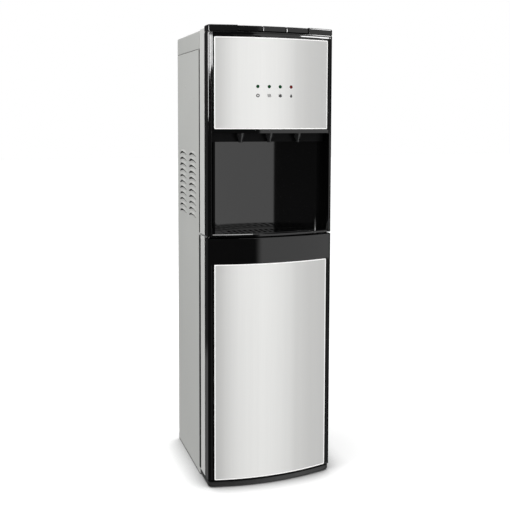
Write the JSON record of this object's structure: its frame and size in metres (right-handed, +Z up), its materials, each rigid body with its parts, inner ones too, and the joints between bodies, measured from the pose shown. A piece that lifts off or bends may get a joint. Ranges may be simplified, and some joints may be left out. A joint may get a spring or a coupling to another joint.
{
  "type": "bottom load water cooler",
  "caption": "Tall floor-standing water cooler with a bowed black and steel front, open dispensing bay with drip tray, top keys and a hinged door over a bottle cabinet.",
  "frame": {"origin": "centre of the bounding box at floor level", "axes": "+Z up, -Y towards the front with the door, +X to the viewer's right"},
  "size_m": [0.304, 0.35, 1.05],
  "materials": {
    "silver_plastic": "satin silver-grey",
    "painted_steel": "satin",
    "front_steel": "fine brushed",
    "gloss_black": "high gloss",
    "matt_black": "satin",
    "dark_grey": "satin",
    "foot_rubber": "matt",
    "zinc_steel": "zinc coated",
    "tank_steel": "drawn",
    "insulation_foam": "foam",
    "clear_hose": "silicone",
    "green_lens": "lens",
    "red_plastic": "gloss",
    "circuit_board": "lacquered",
    "white_plastic": "satin"
  },
  "bodies": {
    "cabinet": {"base_pan": "matt_black", "foot_front_left": "foot_rubber", "foot_front_right": "foot_rubber", "foot_rear_left": "foot_rubber", "foot_rear_right": "foot_rubber", "side_panel_left": "painted_steel", "side_panel_right": "painted_steel", "divider_shelf": "zinc_steel", "back_panel_lower": "zinc_steel", "back_panel_upper": "zinc_steel", "top_cover": "silver_plastic", "upper_collar": "silver_plastic", "bezel": "gloss_black", "control_fascia": "front_steel", "led_power": "green_lens", "led_heating": "green_lens", "led_cooling": "green_lens", "led_empty": "red_plastic", "bay_shell": "gloss_black", "spout_beam": "matt_black", "spout_hot": "dark_grey", "valve_hot": "white_plastic", "spout_room": "dark_grey", "valve_room": "white_plastic", "spout_cold": "dark_grey", "valve_cold": "white_plastic", "key_deck": "gloss_black", "key_rod": "zinc_steel", "key_switch_board": "circuit_board", "control_board": "circuit_board", "hinge_upper": "zinc_steel", "hinge_lower": "zinc_steel", "catch_magnet": "matt_black", "compressor": "matt_black", "tank_shelf": "zinc_steel", "cold_tank": "tank_steel", "cold_insulation": "insulation_foam", "hot_tank": "tank_steel", "pump": "white_plastic", "bottle_probe": "white_plastic", "probe_hose": "clear_hose", "riser_hose": "clear_hose", "hot_feed_hose": "clear_hose", "condenser_tube": "matt_black", "condenser_grid": "matt_black", "switch_housing": "matt_black", "drain_spout": "white_plastic", "power_gland": "matt_black"},
    "door": {"door_frame": "gloss_black", "door_return": "silver_plastic", "door_skin": "front_steel"},
    "key_hot": {"key_hot": "gloss_black"},
    "key_room": {"key_room": "gloss_black"},
    "key_cold": {"key_cold": "gloss_black"},
    "child_lock": {"child_lock": "red_plastic"},
    "drip_tray": {"drip_tray": "gloss_black"},
    "drip_grille": {"drip_grille": "matt_black"},
    "rocker_hot": {"rocker_hot": "red_plastic"},
    "rocker_cold": {"rocker_cold": "green_lens"},
    "drain_cap": {"drain_cap": "white_plastic"}
  },
  "joints": [
    {"name": "door_hinge", "type": "hinge", "parent": "cabinet", "child": "door", "pos_m": [-0.139, -0.102, 0.3], "axis": [0, 0, 1], "range_deg": [-110, 0]},
    {"name": "key_hot_press", "type": "hinge", "parent": "cabinet", "child": "key_hot", "pos_m": [0, -0.1292, 1.04], "axis": [1, 0, 0], "range_deg": [0, 3], "stiffness_Nm_per_rad": 1.4, "springref_deg": -3.44},
    {"name": "key_room_press", "type": "hinge", "parent": "cabinet", "child": "key_room", "pos_m": [0, -0.1292, 1.04], "axis": [1, 0, 0], "range_deg": [0, 3], "stiffness_Nm_per_rad": 1.4, "springref_deg": -3.44},
    {"name": "key_cold_press", "type": "hinge", "parent": "cabinet", "child": "key_cold", "pos_m": [0, -0.1292, 1.04], "axis": [1, 0, 0], "range_deg": [0, 3], "stiffness_Nm_per_rad": 1.4, "springref_deg": -3.44},
    {"name": "child_lock_slide", "type": "slide", "parent": "key_hot", "child": "child_lock", "axis": [1, 0, 0], "range_m": [0, 0.005]},
    {"name": "drip_tray_lift", "type": "slide", "parent": "cabinet", "child": "drip_tray", "axis": [0, 0, 1], "range_m": [0, 0.06]},
    {"name": "drip_grille_lift", "type": "slide", "parent": "drip_tray", "child": "drip_grille", "axis": [0, 0, 1], "range_m": [0, 0.04]},
    {"name": "rocker_hot_tilt", "type": "hinge", "parent": "cabinet", "child": "rocker_hot", "pos_m": [0.072, 0.1485, 0.976], "axis": [1, 0, 0], "range_deg": [0, 20]},
    {"name": "rocker_cold_tilt", "type": "hinge", "parent": "cabinet", "child": "rocker_cold", "pos_m": [0.098, 0.1485, 0.976], "axis": [1, 0, 0], "range_deg": [0, 20]},
    {"name": "drain_cap_turn", "type": "hinge", "parent": "cabinet", "child": "drain_cap", "pos_m": [0.112, 0.16, 0.602], "axis": [0, 1, 0], "continuous": true}
  ]
}
